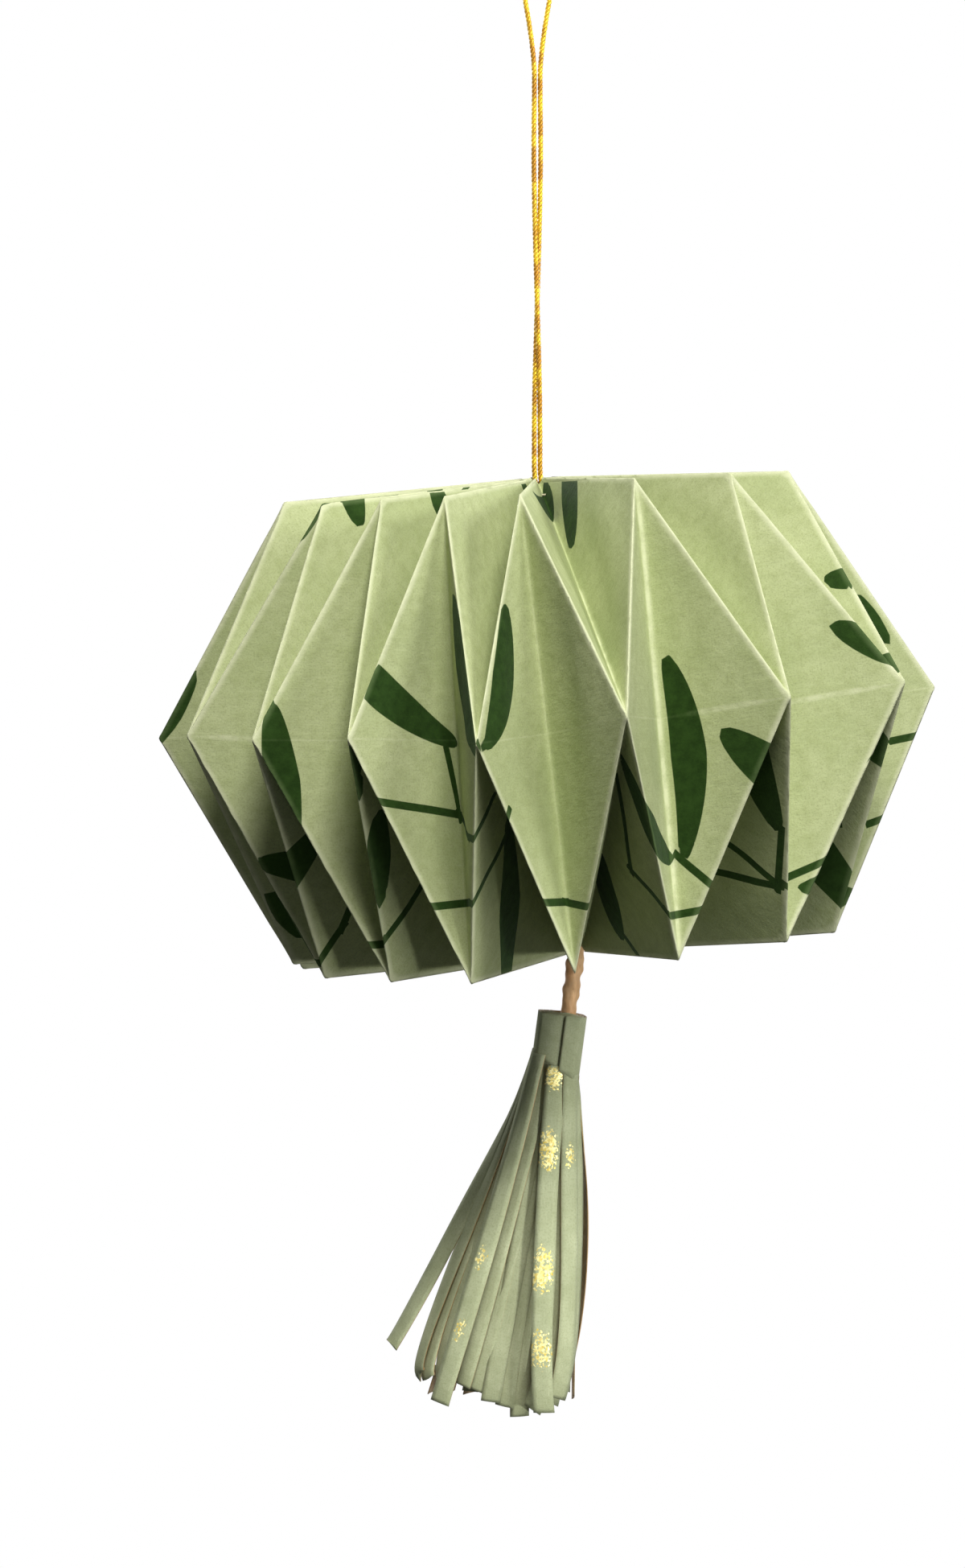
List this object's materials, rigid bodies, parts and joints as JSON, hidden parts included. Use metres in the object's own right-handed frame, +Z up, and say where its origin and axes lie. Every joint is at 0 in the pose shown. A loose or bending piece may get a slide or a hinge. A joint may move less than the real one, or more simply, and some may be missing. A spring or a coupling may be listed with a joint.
{
  "type": "hanging folded-paper ball",
  "caption": "Hanging ball folded from one pleated paper strip, with a cord loop above and a rolled paper tassel below.",
  "frame": {"origin": "inside top of the hanging loop, where it rests on a hook", "axes": "+Z up along the pull of the cord, front of the ball facing -Y, +X to the right"},
  "size_m": [0.0997, 0.0992, 0.1911],
  "materials": {
    "printed_paper": "soft handmade paper, sage green with dark green leaf sprigs, pale worn folds",
    "cotton_thread": "thin waxed cotton thread",
    "gold_cord": "metallic gold cord",
    "tan_paper": "creased tan paper with a copper sheen",
    "tassel_paper": "matt grey-green paper with small gold dots and a tan back"
  },
  "bodies": {
    "root": {"folded_ball": "printed_paper", "top_gathering_thread": "cotton_thread", "bottom_gathering_thread": "cotton_thread", "hanging_cord": "gold_cord", "tassel_stem": "tan_paper", "tassel_fringe": "tassel_paper"}
  },
  "joints": []
}
